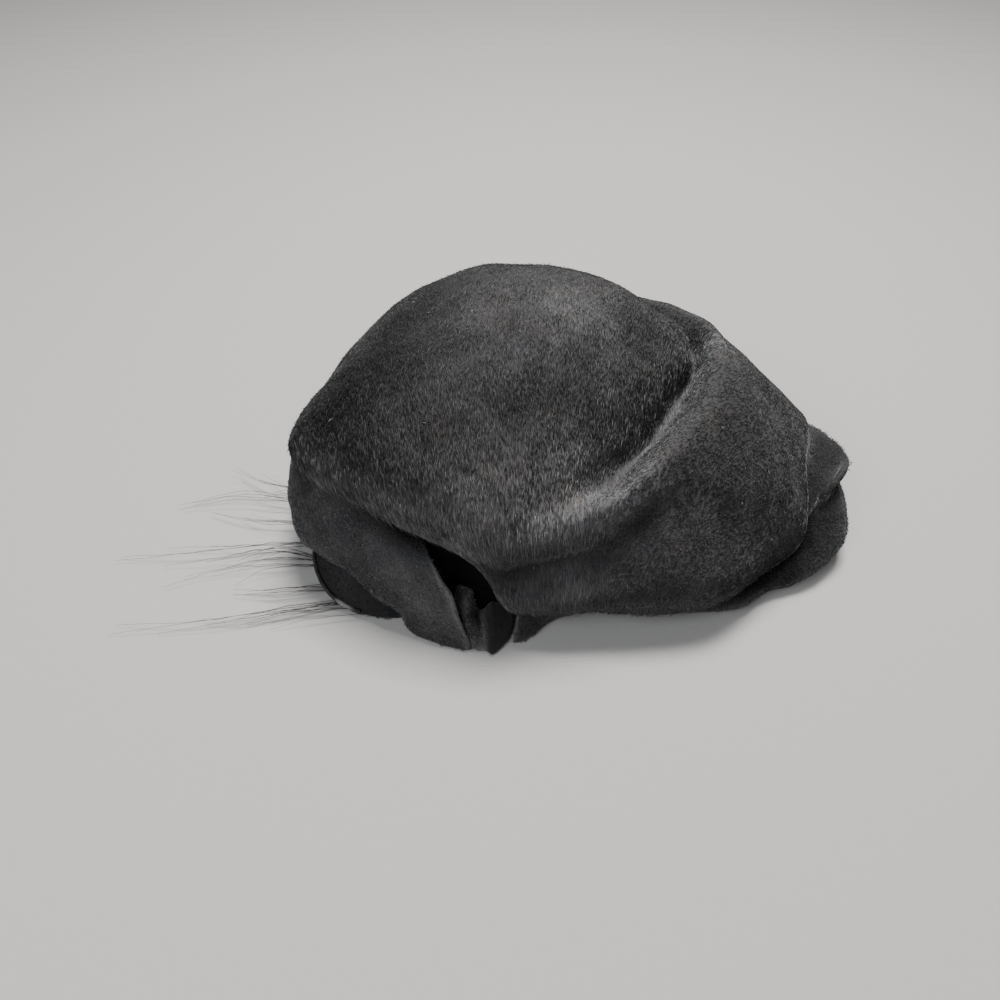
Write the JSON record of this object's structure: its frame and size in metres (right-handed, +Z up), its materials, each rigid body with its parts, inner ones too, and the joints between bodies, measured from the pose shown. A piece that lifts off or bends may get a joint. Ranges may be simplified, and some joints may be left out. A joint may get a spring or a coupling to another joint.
{
  "type": "draped felt hat",
  "caption": "Black fur-felt hat draped by hand: domed crown, wing swept round one side in a rolled ridge, rolled brim, inner band and a spray of fine barbs",
  "frame": {"origin": "centre of the whole part's box, on the surface that the hat rests on", "axes": "+X to the wearer's side with the wing, +Y to the back, +Z up through the crown"},
  "size_m": [0.3613, 0.2036, 0.11],
  "materials": {
    "black_felt": "matt velour fur felt with a brushed nap",
    "inner_felt": "matt felt",
    "quill": "fine dark feather barbs"
  },
  "bodies": {
    "root": {"crown": "black_felt", "rolled_brim": "black_felt", "head_band": "inner_felt", "front_tuck": "black_felt", "quill_spray": "quill"}
  },
  "joints": []
}
